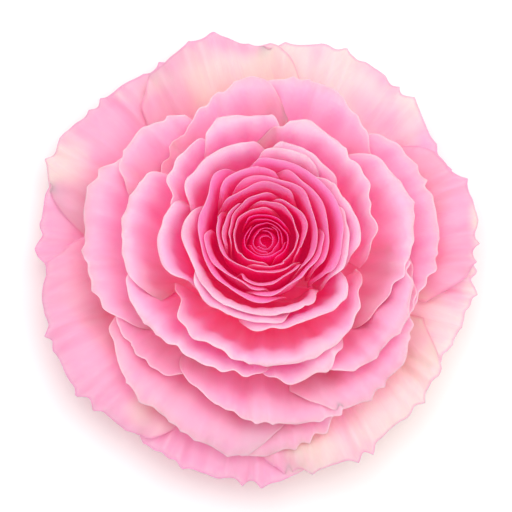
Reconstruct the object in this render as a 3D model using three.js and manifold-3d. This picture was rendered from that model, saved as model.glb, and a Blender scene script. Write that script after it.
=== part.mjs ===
// An open garden rose, picked just below its hip and standing on the cut neck and its sepals.
// Millimetres, +Z up. The origin is the middle of the cut face under the neck, on the surface.
//
// Every petal is a patch of one family of nested bowl-shaped sheets. A sheet is known by the radius of
// its rim, seen from above, and the petals are laid down from the heart outwards, each one just outside
// all those that it wraps, as they grow.
import * as THREE from 'three';
import * as BufferGeometryUtils from 'three/addons/utils/BufferGeometryUtils.js';
import Module from 'manifold-3d';

// ---------------------------------------------------------------- driving dimensions
const PETAL_THICKNESS = 0.6;
const FACE_STEP = 2; // azimuth step of the laid sheets, degrees
const BLEND_STEPS = { inner: 7, outer: 5 }; // half width, in steps, over which a sheet eases round an edge
const BLEND_RIMS = { from: 8, to: 24 }; // sheets over which the inner blend passes into the outer one
const BRIDGE_REACH = 40; // a petal wraps over dents up to this far on both sides of it, degrees,
const BRIDGE_SLACK = 0.003; // and sags into them by this much times the square of the degrees
const BRIDGE_RADIUS = 20; // beyond this sheet radius the sag grows with the square of the radius
const SHEET_SPACING = [[0, 1], [8, 1.15], [14, 1.4], [20, 1.75], [34, 2.05], [46, 2.2]]; // by rim radius
const HEART_PACKING = 0.75; // share of that spacing in the heart, whose petals are rolled tight
const CORNER_DROP = 0.05; // how far the two ends of a rim fall back, as a share of the petal's length,
const CORNER_START = 0.8; // from this share of the half width
const TUCK_SPAN = 24; // degrees at both ends over which a rim near the heart tucks in behind those inside it,
const TUCK_GAP = 0.5; // to this far outside them
const TUCKED_RIMS = { from: 24, to: 32 }; // widest rims over which the tuck fades out
const JOIN_SOFTNESS = 0.5; // how gently a sheet leaves the ones below it
const EVEN_RIMS = { from: 18, to: 40 }; // rim radii over which a petal comes to lie on one even sheet
const LEAST_SLOPE = 14; // upright sheets count as if they flared this fast at the rim
const CLAW_HALF_WIDTH = 9; // degrees of the receptacle that a petal's foot takes
const CLAW_LENGTH = { inner: 1.4, outer: 1.25 }; // power of the length by which a petal widens from its foot
const CLAW_CLEARANCE = 34; // feet nearer than this in azimuth stand at different levels,
const WIDTH_CLEARANCE = 0.42; // as do those nearer than this share of the two half widths
const RUFFLE_LENGTH = 14; // rim length of one ruffle
const RUFFLE_HEIGHT = 0.4;
const RUFFLE_REACH = 0.014; // of a petal's length
const RUFFLED_RIMS = { from: 16, to: 50 }; // rim radii over which the ruffles grow
const LEAST_ARC_RADIUS = 4; // ruffles in the heart are measured as if on this radius

// Feet stand on the receptacle along this quadratic Bezier, from the innermost petal out and down.
const FOOT_LINE = [{ r: 3.2, z: 22.5 }, { r: 8.8, z: 19.5 }, { r: 10, z: 9.8 }];
const FOOT_LEVELS = 16;
const FOOT_SEAT = 0.65; // from the receptacle's surface to the middle of a foot
const NECK_RADIUS = 3;
const HIP_RADIUS = 7.8;
const SEPAL_COUNT = 5;
const SEPAL_THICKNESS = 0.8;
const SEPAL_ACROSS = 4; // faces
const SEPAL_ALONG = 7;
const SEPAL_HALF_WIDTH = 3.6;
const SEPAL_LINE = [{ r: 5, z: 7.4 }, { r: 16, z: 8.6 }, { r: 26, z: 0.3125 }]; // Bezier, hip to tip
const SEPAL_TROUGH = 0.5; // how far its sides curl up

// Meridians of the sheets, by rim radius: lower handle (r, z), upper handle (r, z), rim height.
const MERIDIANS = [
  [0, 2.6, 27, 3, 39, 44],
  [4, 6.8, 27, 5.2, 42, 46.4],
  [8, 11, 26, 8, 45.5, 49],
  [14, 16.2, 24.5, 11.8, 48.4, 51.2],
  [20, 20.2, 22, 15.6, 49.4, 50.8],
  [28, 25.4, 18, 21.8, 49, 47.4],
  [37, 30.4, 13, 30, 45, 40],
  [46, 34.4, 8.5, 36.8, 38.4, 30.6],
  [54, 37.2, 4.5, 42, 31, 20.8],
  [62, 39.2, 1, 47.4, 22, 10.4],
  [68, 40.6, -1, 51.6, 15, 2.6],
];

// Rims, from the heart outwards: azimuth in degrees and radius from above, along each petal's free edge.
const HEART_RIMS = [
  [[0, 0.9], [150, 0.9], [300, 1.1]],
  [[200, 1.5], [330, 1.6], [480, 1.7]],
  [[40, 2.1], [160, 2.2], [300, 2.3]],
  [[180, 2.7], [300, 2.8], [440, 2.9]],
  [[330, 3.3], [430, 3.4], [560, 3.5]],
  [[120, 3.8], [240, 3.9], [370, 4]],
  [[280, 4.3], [400, 4.3], [500, 4.5]],
  [[20, 4.9], [45, 5.1], [90, 5.4], [130, 6.1], [150, 6.2]],
];
const FURLED_RIMS = [
  [[52, 6.6], [90, 6.4], [110, 6.6], [126, 7.2], [142, 7.5], [158, 7.3], [195, 6.9], [225, 6.3],
    [262, 5.3], [302, 5.2]],
  [[212, 6.6], [240, 6], [262, 5.8], [285, 5.9], [310, 6.5], [330, 7.1], [370, 7.6], [390, 8],
    [440, 8.2], [470, 8.4], [492, 8]],
  [[308, 6.9], [330, 7.6], [345, 7.9], [365, 8.7], [377, 9.6], [390, 10], [420, 10], [436, 9.8],
    [455, 9.4]],
  [[60, 10.6], [90, 10.5], [110, 10], [123, 9], [139, 8.3], [155, 8.2], [195, 8], [212, 7.6]],
  [[112, 11], [124, 10.9], [136, 10.2], [158, 9.6], [180, 9.3], [205, 8.6]],
  [[128, 13], [150, 12.6], [165, 11.8], [195, 10.5], [210, 10], [225, 8.7], [240, 7.8], [262, 7.1],
    [285, 7], [300, 7.7], [315, 8.7], [330, 9.6], [344, 10.1]],
  [[40, 12.6], [60, 12.4], [90, 12.8], [105, 12.6], [120, 12.3], [135, 12.9], [155, 13.2]],
  [[222, 9.2], [232, 10.2], [246, 11.2], [266, 11.5], [282, 11], [298, 10.5], [312, 10.2], [326, 10.2],
    [338, 10]],
  [[290, 11.4], [333, 11.6], [360, 11.9], [383, 12.7], [398, 13.1], [414, 14.4], [440, 14.2],
    [480, 14.2], [505, 14]],
  [[157, 14], [170, 14.4], [184, 14.4], [207, 13.6], [220, 13.1], [232, 12.6], [245, 12.4], [257, 12.6],
    [270, 12.6], [287, 12]],
  [[68, 15.5], [90, 16.5], [110, 17.3], [129, 16.8], [147, 15.4]],
  [[238, 13.6], [250, 13.9], [270, 14], [283, 13.8], [297, 13.3], [310, 12.8], [322, 12.7], [333, 13],
    [352, 13.8], [370, 14.4], [385, 15]],
  [[314, 14.6], [340, 14.8], [365, 15], [380, 15.4], [400, 16], [420, 16.4], [440, 17], [454, 17.2]],
  [[308, 16.5], [326, 17.8], [344, 18.5], [380, 19.3], [420, 19], [450, 19.3], [482, 18]],
  [[96, 24], [110, 21.4], [121, 20.6], [133, 18.8], [145, 16.8], [163, 15.8], [182, 15.2], [200, 15],
    [236, 15.2], [256, 15.2], [280, 15.2], [304, 14.6]],
];
const CUPPED_RIMS = [
  [[136, 17.5], [144, 19.2], [154, 20], [166, 19.9], [183, 19.7], [199, 19.1], [214, 19], [229, 19.3],
    [244, 19.6], [256, 19], [270, 19.1], [283, 19.4], [292, 19.9], [301, 20], [307, 19.7], [319, 18.5],
    [330, 17]],
  [[190, 19.5], [205, 20.5], [222, 21], [241, 20.8], [256, 20.8], [270, 21.2], [288, 21.4],
    [300, 20.5]],
  [[316, 18], [335, 20.3], [348, 20.4], [363, 20.4], [372, 19.7], [386, 19.6], [396, 19]],
  [[246, 20.5], [258, 22.2], [270, 22.5], [285, 22.4], [296, 22.5], [303, 23.1], [311, 24.1], [324, 25],
    [334, 24.5], [346, 22.5]],
  [[336, 22], [350, 23.4], [360, 23.4], [375, 22.7], [383, 21.7], [390, 20.9], [395, 20.7], [403, 20.3],
    [409, 19.4], [425, 19.2], [440, 18.5]],
  [[40, 20], [53, 22], [67, 22.6], [80, 22.4], [92, 21.6], [104, 21]],
  [[388, 20], [397, 21.8], [407, 22.6], [413, 23.2], [420, 24], [435, 24.2], [441, 24.8], [448, 23.4],
    [456, 22]],
  [[80, 22], [90, 23.6], [105, 24.3], [120, 24.7], [128, 24.7], [136, 23.7], [143, 24.2], [155, 23.3],
    [166, 21.5]],
  [[146, 21.5], [157, 24.8], [168, 25.2], [178, 26.3], [199, 26], [208, 25], [217, 23.5]],
];
const MIDDLE_RIMS = [
  [[200, 24], [225, 27.5], [250, 30], [277, 31.5], [305, 31], [325, 28], [350, 23]],
  [[346, 24], [358, 26], [376, 27.5], [397, 29], [423, 31.5], [444, 30.5], [454, 27]],
  [[75, 27], [86, 31.5], [104, 32.5], [114, 32], [127, 27]],
  [[114, 27], [121, 30], [129, 30.5], [139, 29.5], [149, 27], [166, 24]],
  [[137, 27.5], [148, 33], [165, 36], [178, 35.5], [190, 35], [207, 32]],
  [[181, 31], [190, 35], [200, 36], [214, 36], [231, 34], [255, 33], [268, 32], [280, 29]],
  [[264, 31], [272, 33], [280, 34], [288, 35], [298, 34.5], [312, 31]],
  [[309, 28], [320, 30], [331, 31.5], [352, 35.5], [373, 38], [392, 36], [405, 33], [420, 28]],
];
const OUTER_RIMS = [
  [[286, 32], [294, 35], [306, 38.5], [321, 39.5], [340, 39], [352, 36], [368, 31]],
  [[280, 39], [288, 43], [301, 45.5], [320, 45], [335, 40.5], [352, 37], [370, 32]],
  [[226, 32], [235, 36], [244, 38.5], [262, 43], [280, 44.5], [297, 45], [309, 39]],
  [[80, 37], [87, 43], [93, 45], [100, 43], [107, 41], [124, 36.5], [140, 33], [154, 28]],
  [[396, 34], [405, 38], [417, 41], [429, 44.5], [441, 44.5], [451, 42], [460, 37]],
  [[324, 36], [335, 39], [347, 41.5], [368, 44], [393, 43.5], [405, 41.5], [417, 37]],
  [[114, 35], [120, 39.5], [128, 42], [135, 43.5], [143, 43.5], [151, 42], [161, 37]],
  [[139, 38], [144, 43], [152, 46], [165, 47], [182, 45.5], [194, 44], [204, 41.5], [216, 36]],
  [[192, 37], [202, 40.5], [214, 41], [224, 40], [234, 37.5], [254, 33]],
  [[194, 38], [203, 42], [214, 45], [228, 48.5], [240, 49], [250, 50.5], [259, 52], [270, 50],
    [279, 46]],
  [[248, 46], [257, 50], [265, 51.5], [278, 50], [289, 47], [297, 44], [305, 41]],
];
const GUARD_RIMS = [
  [[344, 45], [356, 52.5], [366, 54.5], [374, 55.5], [384, 52.5], [393, 50], [403, 43]],
  [[76, 48], [86, 55.5], [96, 58], [106, 60], [115, 58.5], [124, 55], [134, 46]],
  [[261, 46], [272, 53.5], [281, 56], [295, 56], [306, 54.5], [314, 54.5], [327, 52.5], [339, 45]],
  [[171, 48], [183, 55.5], [194, 58], [208, 58.5], [225, 57.5], [237, 55], [249, 47]],
  [[364, 43], [378, 50.5], [391, 52.5], [408, 55.5], [419, 57.5], [437, 58], [450, 55.5], [463, 46]],
  [[105, 48], [117, 56.5], [128, 59], [141, 60.5], [155, 61.5], [164, 57], [173, 49]],
  [[311, 44], [323, 51.5], [335, 52.5], [350, 54], [361, 52.5], [373, 44]],
  [[221, 47], [234, 55], [247, 57], [257, 57], [265, 58], [276, 56.5], [287, 53], [296, 46]],
  [[146, 50], [157, 57.5], [168, 59], [178, 58], [190, 54], [203, 50], [216, 47], [228, 41]],
  [[98, 50], [108, 57.5], [117, 59], [125, 56.5], [133, 49]],
];

// ring: node name, rims, faces across and along a petal, colour
const RINGS = [
  { name: 'furled_petal', rims: FURLED_RIMS, across: 8, along: 5, colour: 0xf02d7d },
  { name: 'cupped_petal', rims: CUPPED_RIMS, across: 8, along: 5, colour: 0xf85f9d },
  { name: 'middle_petal', rims: MIDDLE_RIMS, across: 10, along: 5, colour: 0xfb86b6 },
  { name: 'outer_petal', rims: OUTER_RIMS, across: 10, along: 5, colour: 0xfba3c8 },
  { name: 'guard_petal', rims: GUARD_RIMS, across: 12, along: 5, colour: 0xfbd5d8 },
];
const HEART_ACROSS = 9;
const HEART_ALONG = 4;
const HEART_FOOT = { r: 0.6, z: 22.5 };
const HEART_START = 0.12; // where a heart petal begins, as a share of its length, inside the core
const CORE_PROFILE = [[0, 22.8], [2.2, 23], [3.5, 27], [4.2, 32], [4.2, 35], [3.4, 37.5], [0, 38.6]];
const WIDEST_FACE = 19; // degrees of a petal's width that one column of faces takes, at most

// ---------------------------------------------------------------- numbers
const radians = THREE.MathUtils.degToRad;
const smoothstep = THREE.MathUtils.smoothstep;
const lerp = THREE.MathUtils.lerp;

// Cubic Hermite line through points [x, y]; the slope at a point is that of the chord between its neighbours.
function smoothLine(x, points) {
  const last = points.length - 1;
  const at = Math.min(Math.max(x, points[0][0]), points[last][0]);
  let i = 0;
  while (i < last - 1 && at > points[i + 1][0]) i += 1;
  const slope = (k) => {
    const before = points[Math.max(k - 1, 0)];
    const after = points[Math.min(k + 1, last)];
    return (after[1] - before[1]) / (after[0] - before[0]);
  };
  const span = points[i + 1][0] - points[i][0];
  const f = (at - points[i][0]) / span;
  return (1 + 2 * f) * (1 - f) ** 2 * points[i][1]
    + f * (1 - f) ** 2 * span * slope(i)
    + f * f * (3 - 2 * f) * points[i + 1][1]
    + f * f * (f - 1) * span * slope(i + 1);
}

const meridianPoints = [1, 2, 3, 4, 5].map((column) => MERIDIANS.map((row) => [row[0], row[column]]));

// Point of the sheet with this rim radius, at share t of its length: a cubic Bezier from the foot to the rim.
function onSheet(rim, t, foot) {
  const [r1, z1, r2, z2, z3] = meridianPoints.map((points) => smoothLine(rim, points));
  const b0 = (1 - t) ** 3;
  const b1 = 3 * t * (1 - t) ** 2;
  const b2 = 3 * t * t * (1 - t);
  const b3 = t ** 3;
  return {
    r: b0 * foot.r + b1 * r1 + b2 * r2 + b3 * rim,
    z: b0 * foot.z + b1 * z1 + b2 * z2 + b3 * z3,
  };
}

// How fast the radius from above grows along a sheet near its rim; upright sheets count as if they flared.
function rimSlope(rim) {
  return Math.max(3 * (rim - smoothLine(rim, meridianPoints[2])), LEAST_SLOPE);
}

// ---------------------------------------------------------------- laying the petals
const RING_FACES = 360 / FACE_STEP;
const laidOut = new Array(RING_FACES).fill(0); // outermost sheet so far, by azimuth
const rimsOut = new Array(RING_FACES).fill(0); // outermost rim so far, by azimuth
const laidFeet = [];

const wrap = (i) => ((i % RING_FACES) + RING_FACES) % RING_FACES;

const offsetsTo = (reach) => Array.from({ length: 2 * reach + 1 }, (_, k) => k - reach);

// Sheets moved out (or in, for side -1) by nothing at their own azimuth and less and less to both sides.
function swept(sheets, side) {
  const sag = (k) => {
    const grown = Math.max(sheets[k] / BRIDGE_RADIUS, 1) ** 2;
    return BRIDGE_SLACK * grown;
  };
  const extreme = side > 0 ? Math.max : Math.min;
  return sheets.map((_, i) => extreme(...offsetsTo(BRIDGE_REACH / FACE_STEP).map((step) => {
    const k = wrap(i + step);
    return sheets[k] - side * sag(k) * (step * FACE_STEP) ** 2;
  })));
}

// Sheets widened and then averaged over some steps, so that the result never dips below them.
function averaged(sheets, steps) {
  const offsets = offsetsTo(steps);
  const widened = sheets.map((_, i) => Math.max(...offsets.map((k) => sheets[wrap(i + k)])));
  return widened.map((_, i) => offsets.reduce((sum, k) => sum + widened[wrap(i + k)], 0) / offsets.length);
}

// The sheets laid so far, as the next petal wraps them: narrow dents are bridged and edges are eased.
function easedSheets() {
  const closed = swept(swept(laidOut, 1), -1);
  const bridged = closed.map((sheet, i) => Math.max(sheet, laidOut[i]));
  const inner = averaged(bridged, BLEND_STEPS.inner);
  const outer = averaged(bridged, BLEND_STEPS.outer);
  return bridged.map((sheet, i) => {
    const outwards = smoothstep(sheet, BLEND_RIMS.from, BLEND_RIMS.to);
    return lerp(inner[i], outer[i], outwards);
  });
}

// Lays one petal just outside those it wraps, and returns its rim radius, sheet and foot by azimuth.
// Near the heart, the two ends of its rim tuck in behind the rims inside it.
function layPetal(rim, packing = 1) {
  const start = rim[0][0];
  const end = rim[rim.length - 1][0];
  const count = Math.floor((end - start) / FACE_STEP) + 1;
  const azimuths = Array.from({ length: count }, (_, k) => start + k * FACE_STEP);
  const drawn = azimuths.map((azimuth) => smoothLine(azimuth, rim));
  const tucked = 1 - smoothstep(Math.max(...drawn), TUCKED_RIMS.from, TUCKED_RIMS.to);
  const radii = azimuths.map((azimuth, k) => {
    const fromEnd = Math.min(azimuth - start, azimuths[count - 1] - azimuth);
    const tuck = tucked * (1 - smoothstep(fromEnd, 0, TUCK_SPAN));
    const inner = rimsOut[wrap(Math.round(azimuth / FACE_STEP))];
    return drawn[k] + tuck * Math.min(inner + TUCK_GAP - drawn[k], 0);
  });
  const widest = Math.max(...radii);
  const evenness = smoothstep(widest, EVEN_RIMS.from, EVEN_RIMS.to);
  const eased = easedSheets();
  const first = Math.max(...laidOut) === 0;
  const sheets = azimuths.map((azimuth, k) => {
    const own = lerp(radii[k], widest, evenness);
    if (first) return own;
    const below = eased[wrap(Math.round(azimuth / FACE_STEP))];
    const least = below + packing * smoothLine(below, SHEET_SPACING);
    return (own + least + Math.hypot(own - least, JOIN_SOFTNESS)) / 2;
  });
  azimuths.forEach((azimuth, k) => {
    const i = wrap(Math.round(azimuth / FACE_STEP));
    laidOut[i] = Math.max(laidOut[i], sheets[k]);
    rimsOut[i] = Math.max(rimsOut[i], radii[k]);
  });
  const centre = (start + end) / 2;
  const halfWidth = (end - start) / 2;
  return { start, centre, halfWidth, radii, sheets, level: footLevel(centre, halfWidth) };
}

// A foot stands one level lower than the feet near it, and no higher than those its petal wraps.
function footLevel(centre, halfWidth) {
  let level = 0;
  for (const other of laidFeet) {
    const apart = Math.abs(wrapDegrees(centre - other.centre));
    if (apart < halfWidth + other.halfWidth) {
      const near = apart < Math.max(CLAW_CLEARANCE, WIDTH_CLEARANCE * (halfWidth + other.halfWidth));
      level = Math.max(level, other.level + (near ? 1 : 0));
    }
  }
  laidFeet.push({ centre, halfWidth, level });
  return level;
}

const wrapDegrees = (angle) => ((((angle + 180) % 360) + 360) % 360) - 180;

// Point of the foot line, moved inwards by the given depth.
function footLine(share, depth) {
  const [top, bend, low] = FOOT_LINE;
  const point = (key) => (1 - share) ** 2 * top[key]
    + 2 * share * (1 - share) * bend[key]
    + share ** 2 * low[key];
  const slope = (key) => (1 - share) * (bend[key] - top[key]) + share * (low[key] - bend[key]);
  const run = Math.hypot(slope('r'), slope('z'));
  return { r: point('r') + (depth * slope('z')) / run, z: point('z') - (depth * slope('r')) / run };
}

const footAt = (level) => footLine(level / FOOT_LEVELS, 0);

// ---------------------------------------------------------------- one petal as a closed solid
const along = (values, petal, azimuth) => {
  const place = Math.min(Math.max((azimuth - petal.start) / FACE_STEP, 0), values.length - 1);
  const i = Math.min(Math.floor(place), values.length - 2);
  return lerp(values[i], values[i + 1], place - i);
};

// Seeded draw from 0 to 1, the same every run.
const draw = (seed) => {
  const x = Math.sin(seed * 12.9898 + 4.1414) * 43758.5453;
  return x - Math.floor(x);
};

// Middle of the petal: u from -1 to 1 across it, v from 0 at the foot to 1 at the rim.
function petalPoint(petal, seed, foot, u, v) {
  const rimAzimuth = petal.centre + petal.halfWidth * u;
  const radius = along(petal.radii, petal, rimAzimuth);
  const rimSheet = along(petal.sheets, petal, rimAzimuth);
  const outerness = smoothstep(radius, RUFFLED_RIMS.from, RUFFLED_RIMS.to);
  const turns = (radians(petal.halfWidth * u) * Math.max(radius, LEAST_ARC_RADIUS)) / RUFFLE_LENGTH;
  const ruffle = Math.sin(2 * Math.PI * (turns + draw(seed))) * 0.6
    + Math.sin(2 * Math.PI * (0.62 * turns + draw(seed + 0.5))) * 0.4;
  const corner = CORNER_DROP * smoothstep(Math.abs(u), CORNER_START, 1);
  const cut = (rimSheet - radius) / rimSlope(rimSheet);
  const reach = (1 - cut + RUFFLE_REACH * outerness * ruffle) * (1 - corner);
  const t = v * reach;
  const claw = Math.min(1, CLAW_HALF_WIDTH / petal.halfWidth);
  const spread = 1 - (1 - Math.min(t, 1) ** lerp(CLAW_LENGTH.inner, CLAW_LENGTH.outer, outerness)) ** 2;
  const azimuth = petal.centre + petal.halfWidth * u * lerp(claw, 1, spread);
  const { r, z } = onSheet(along(petal.sheets, petal, azimuth), t, foot);
  const angle = radians(azimuth);
  return new THREE.Vector3(
    r * Math.cos(angle),
    r * Math.sin(angle),
    z + RUFFLE_HEIGHT * outerness * ruffle * v ** 4,
  );
}

// Closed blade on a grid: both faces are split into triangles alike, with a wall round the edge.
function bladeGeometry(middle, thickness, across, lengthwise) {
  const positions = [];
  const step = 0.01;
  for (const side of [0.5, -0.5]) {
    for (let j = 0; j <= lengthwise; j += 1) {
      for (let i = 0; i <= across; i += 1) {
        const u = (2 * i) / across - 1;
        const v = j / lengthwise;
        const du = middle(Math.min(u + step, 1), v).sub(middle(Math.max(u - step, -1), v));
        const dv = middle(u, Math.min(v + step, 1)).sub(middle(u, Math.max(v - step, 0)));
        const normal = du.cross(dv).normalize();
        positions.push(...middle(u, v).addScaledVector(normal, side * thickness).toArray());
      }
    }
  }
  const row = across + 1;
  const face = row * (lengthwise + 1);
  const index = [];
  for (let j = 0; j < lengthwise; j += 1) {
    for (let i = 0; i < across; i += 1) {
      const a = j * row + i;
      index.push(a, a + 1, a + row + 1, a, a + row + 1, a + row);
      index.push(face + a, face + a + row + 1, face + a + 1, face + a, face + a + row, face + a + row + 1);
    }
  }
  const wall = (a, b) => index.push(a, face + a, face + b, a, face + b, b);
  for (let i = 0; i < across; i += 1) {
    wall(i, i + 1);
    wall(lengthwise * row + i + 1, lengthwise * row + i);
  }
  for (let j = 0; j < lengthwise; j += 1) {
    wall((j + 1) * row, j * row);
    wall(j * row + across, (j + 1) * row + across);
  }
  const geometry = new THREE.BufferGeometry();
  geometry.setAttribute('position', new THREE.Float32BufferAttribute(positions, 3));
  geometry.setIndex(index);
  return geometry;
}

// ---------------------------------------------------------------- joining
const wasm = await Module();
wasm.setup();

function toSolid(geometry) {
  const bare = geometry.clone();
  bare.deleteAttribute('normal');
  bare.deleteAttribute('uv');
  const merged = BufferGeometryUtils.mergeVertices(bare, 1e-4);
  return new wasm.Manifold(new wasm.Mesh({
    numProp: 3,
    vertProperties: new Float32Array(merged.attributes.position.array),
    triVerts: new Uint32Array(merged.index.array),
  }));
}

function fused(geometries) {
  const solid = geometries.map(toSolid).reduce((whole, next) => whole.add(next));
  const mesh = solid.getMesh();
  const geometry = new THREE.BufferGeometry();
  geometry.setAttribute('position', new THREE.Float32BufferAttribute(mesh.vertProperties, 3));
  geometry.setIndex(Array.from(mesh.triVerts));
  return geometry;
}

// A profile of [radius, height] points, from the axis at the foot up to the axis at the top, turned about Z.
function turned(profile, sides) {
  const points = profile.map(([r, z]) => new THREE.Vector2(r, z));
  return new THREE.LatheGeometry(points, sides).rotateX(Math.PI / 2);
}

// ---------------------------------------------------------------- the pieces
function heartGeometry() {
  const rolled = HEART_RIMS.map((rim, seed) => {
    const petal = layPetal(rim, HEART_PACKING);
    const middle = (u, v) => petalPoint(petal, seed, HEART_FOOT, u, lerp(HEART_START, 1, v));
    return bladeGeometry(middle, PETAL_THICKNESS, HEART_ACROSS, HEART_ALONG);
  });
  return fused([turned(CORE_PROFILE, 14), ...rolled]);
}

function calyxGeometry() {
  const receptacle = [1, 0.75, 0.5, 0.25, 0].map((share) => footLine(share, FOOT_SEAT));
  const hip = turned([
    [0, 0], [NECK_RADIUS, 0], [NECK_RADIUS, 1.4], [4.2, 2.6], [6.4, 3.8],
    [HIP_RADIUS, 5.4], [HIP_RADIUS + 0.8, 7.4],
    ...receptacle.map(({ r, z }) => [r, z]), [0, receptacle[4].z + 0.2],
  ], 20);
  const sepals = Array.from({ length: SEPAL_COUNT }, (_, k) => {
    const turn = radians(90 + (360 * k) / SEPAL_COUNT);
    return bladeGeometry(sepalPoint, SEPAL_THICKNESS, SEPAL_ACROSS, SEPAL_ALONG).rotateZ(turn);
  });
  return fused([hip, ...sepals]);
}

// A sepal bends out from the hip and down to the surface; its half width swells, then runs out to a point.
function sepalPoint(u, v) {
  const [root, bend, tip] = SEPAL_LINE;
  const r = (1 - v) ** 2 * root.r + 2 * v * (1 - v) * bend.r + v * v * tip.r;
  const z = (1 - v) ** 2 * root.z + 2 * v * (1 - v) * bend.z + v * v * tip.z;
  const halfWidth = SEPAL_HALF_WIDTH * (1 - v) ** 0.8 * (0.75 + v) + 0.5 * v;
  return new THREE.Vector3(r, u * halfWidth, z + SEPAL_TROUGH * u * u * (1 - v));
}

function material(colour, roughness) {
  return new THREE.MeshStandardMaterial({ color: colour, roughness, metalness: 0 });
}

function named(geometry, name, colour, roughness) {
  const mesh = new THREE.Mesh(geometry, material(colour, roughness));
  mesh.name = name;
  return mesh;
}

const rose = new THREE.Group();
rose.add(named(heartGeometry(), 'heart', 0xd81060, 0.5));
let seed = HEART_RIMS.length;
laidFeet.length = 0; // the heart's petals stand on its own core
for (const ring of RINGS) {
  ring.rims.forEach((rim, k) => {
    const petal = layPetal(rim);
    const petalSeed = seed;
    seed += 1;
    const middle = (u, v) => petalPoint(petal, petalSeed, footAt(petal.level), u, v);
    const across = Math.max(ring.across, Math.ceil((2 * petal.halfWidth) / WIDEST_FACE));
    const geometry = bladeGeometry(middle, PETAL_THICKNESS, across, ring.along);
    const name = `${ring.name}_${String(k + 1).padStart(2, '0')}`;
    rose.add(named(geometry, name, ring.colour, 0.45));
  });
}
rose.add(named(calyxGeometry(), 'hip_and_sepals', 0x6f9a4a, 0.6));

export default rose;
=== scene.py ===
"""An open garden rose, picked below its hip. Every petal is a fine sheet of two parameters, laid over its
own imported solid; the sheets nest from the furled heart out to the drooping guard petals."""
import math

import bpy
import numpy as np
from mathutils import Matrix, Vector


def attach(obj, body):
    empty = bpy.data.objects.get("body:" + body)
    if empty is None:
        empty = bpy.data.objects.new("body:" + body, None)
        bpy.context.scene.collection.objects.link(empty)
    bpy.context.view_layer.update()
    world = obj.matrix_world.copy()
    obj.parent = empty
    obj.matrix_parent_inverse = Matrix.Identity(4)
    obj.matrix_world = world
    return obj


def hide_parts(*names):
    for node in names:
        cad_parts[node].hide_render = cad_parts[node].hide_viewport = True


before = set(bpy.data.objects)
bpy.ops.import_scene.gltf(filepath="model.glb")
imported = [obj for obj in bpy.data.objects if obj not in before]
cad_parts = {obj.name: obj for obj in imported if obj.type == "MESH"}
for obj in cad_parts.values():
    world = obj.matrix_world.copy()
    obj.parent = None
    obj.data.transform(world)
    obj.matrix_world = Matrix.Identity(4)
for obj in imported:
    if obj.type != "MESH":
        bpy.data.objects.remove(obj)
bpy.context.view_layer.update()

MM = 0.001

# ---------------------------------------------------------------- how petals are laid (millimetres, degrees)
FACE_STEP = 2.0  # the sheets are kept as one rim radius for each step of azimuth
BLEND_STEPS = 4  # steps that the edge of a wrapped petal is eased over, each way
BRIDGE_REACH = 40  # half the width of the widest dent that the next petal bridges
BRIDGE_SLACK = 0.003  # it sags into the dent by this times the square of the degrees to the dent's edge
SLACK_RADIUS = 20.0  # past this rim radius it sags more
SHEET_SPACING = np.array([(0, 0.75), (8, 0.8), (14, 0.9), (20, 1.1), (34, 1.5), (46, 1.8)])  # rim radius, gap
SHEET_SOFTNESS = 0.5  # how gently a petal leaves its own line for the sheet it wraps
HEART_PACKING = 0.75  # share of the spacing in the heart
EVEN_RIMS = (18, 40)  # petals past these rim radii lie on the sheet of their widest point all along
TUCK_SPAN = 24.0  # degrees at each end of a rim that tuck in
TUCK_GAP = 0.5
TUCKED_RIMS = (24, 32)  # rims inside the first radius tuck in fully, past the second not at all
OPEN_ROOM = 9.0  # room outside a petal that no other petal wraps
CLAW_HALF_WIDTH = 9.0
CLAW_CLEARANCE = 34.0  # feet nearer each other than this stand on different levels
WIDTH_CLEARANCE = 0.42  # and those nearer than this share of both half widths
FOOT_LINE = np.array([(3.2, 22.5), (8.8, 19.5), (10.0, 9.8)])  # Bezier over the receptacle, top to low
FOOT_LEVELS = 16
HEART_FOOT = np.array([0.6, 22.5])
HEART_START = 0.12  # the heart's petals are shown from this share of their length on

# ---------------------------------------------------------------- how a petal waves (millimetres)
ROW_CROWDING = 0.4  # rows of the grid stand closer near the rim
SPREAD_END = 0.6  # share of the length where a petal reaches its full width
RUFFLED_RIMS = (16, 50)  # rims from the first radius on ruffle, and past the second fully
RUFFLE_LENGTH = 14.0
RUFFLE_HEIGHT = 0.4
RUFFLE_REACH = 0.014
OWN_RUFFLE = 0.45  # share of the ruffle that is the petal's own; the rest it shares with its neighbours
RUFFLE_WAVES = (13, 8)  # waves round the bloom
FOLD_WAVES = (29, 18)
RISE = 0.5  # ruffles and crimps are moved up and inwards by this share of their height
CALM_ENDS = (0.72, 0.97)  # share of the half width past which the waves die down
CALM_SHARE = 0.85
TOOTH_DRIFT = 0.4
TOOTH_DRIFT_LENGTH = 17.0
LIP_SHARE = 0.6  # a lip fills at most this share of the room outside its petal
LIP_HEIGHTS = (0.6, 0.5)  # a lip's height is its look's, times the first plus the second times a wave
LIP_GROWTH, RUFFLE_GROWTH, CRIMP_GROWTH = 2.2, 1.5, 2.5  # powers of the nearness to the rim
FOLD_HALF_TURNS = 1.05  # folds rise and fall along a petal by a sine of this many half turns, cut off at one
FOLD_GROWTH = 1.5  # power of that sine
THIN_MARGIN = 3.0  # petals thin out over this width
THIN_SHARE = 0.4
LEAST_RIM_SLOPE = 14
LEAST_ARC_RADIUS = 4  # arcs round the bloom are measured on this radius at least
ARC_TO_UV = 0.1
LIT_FACE_RIMS = (10.8, 12.8)  # petals of rims past the second radius are painted paler, as lit, where their faces lie open to the light, as far in as the first radius
LIT_FACE_PLACES = (8.5, 12.5)  # as far in as the first radius
PAINT_POWER = 0.8  # of paint_rim over a rim's radius
PAINTED_RIMS = (5, 80)
LONGEST_DROP = 60
WIDEST_MARGIN = 20

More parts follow.
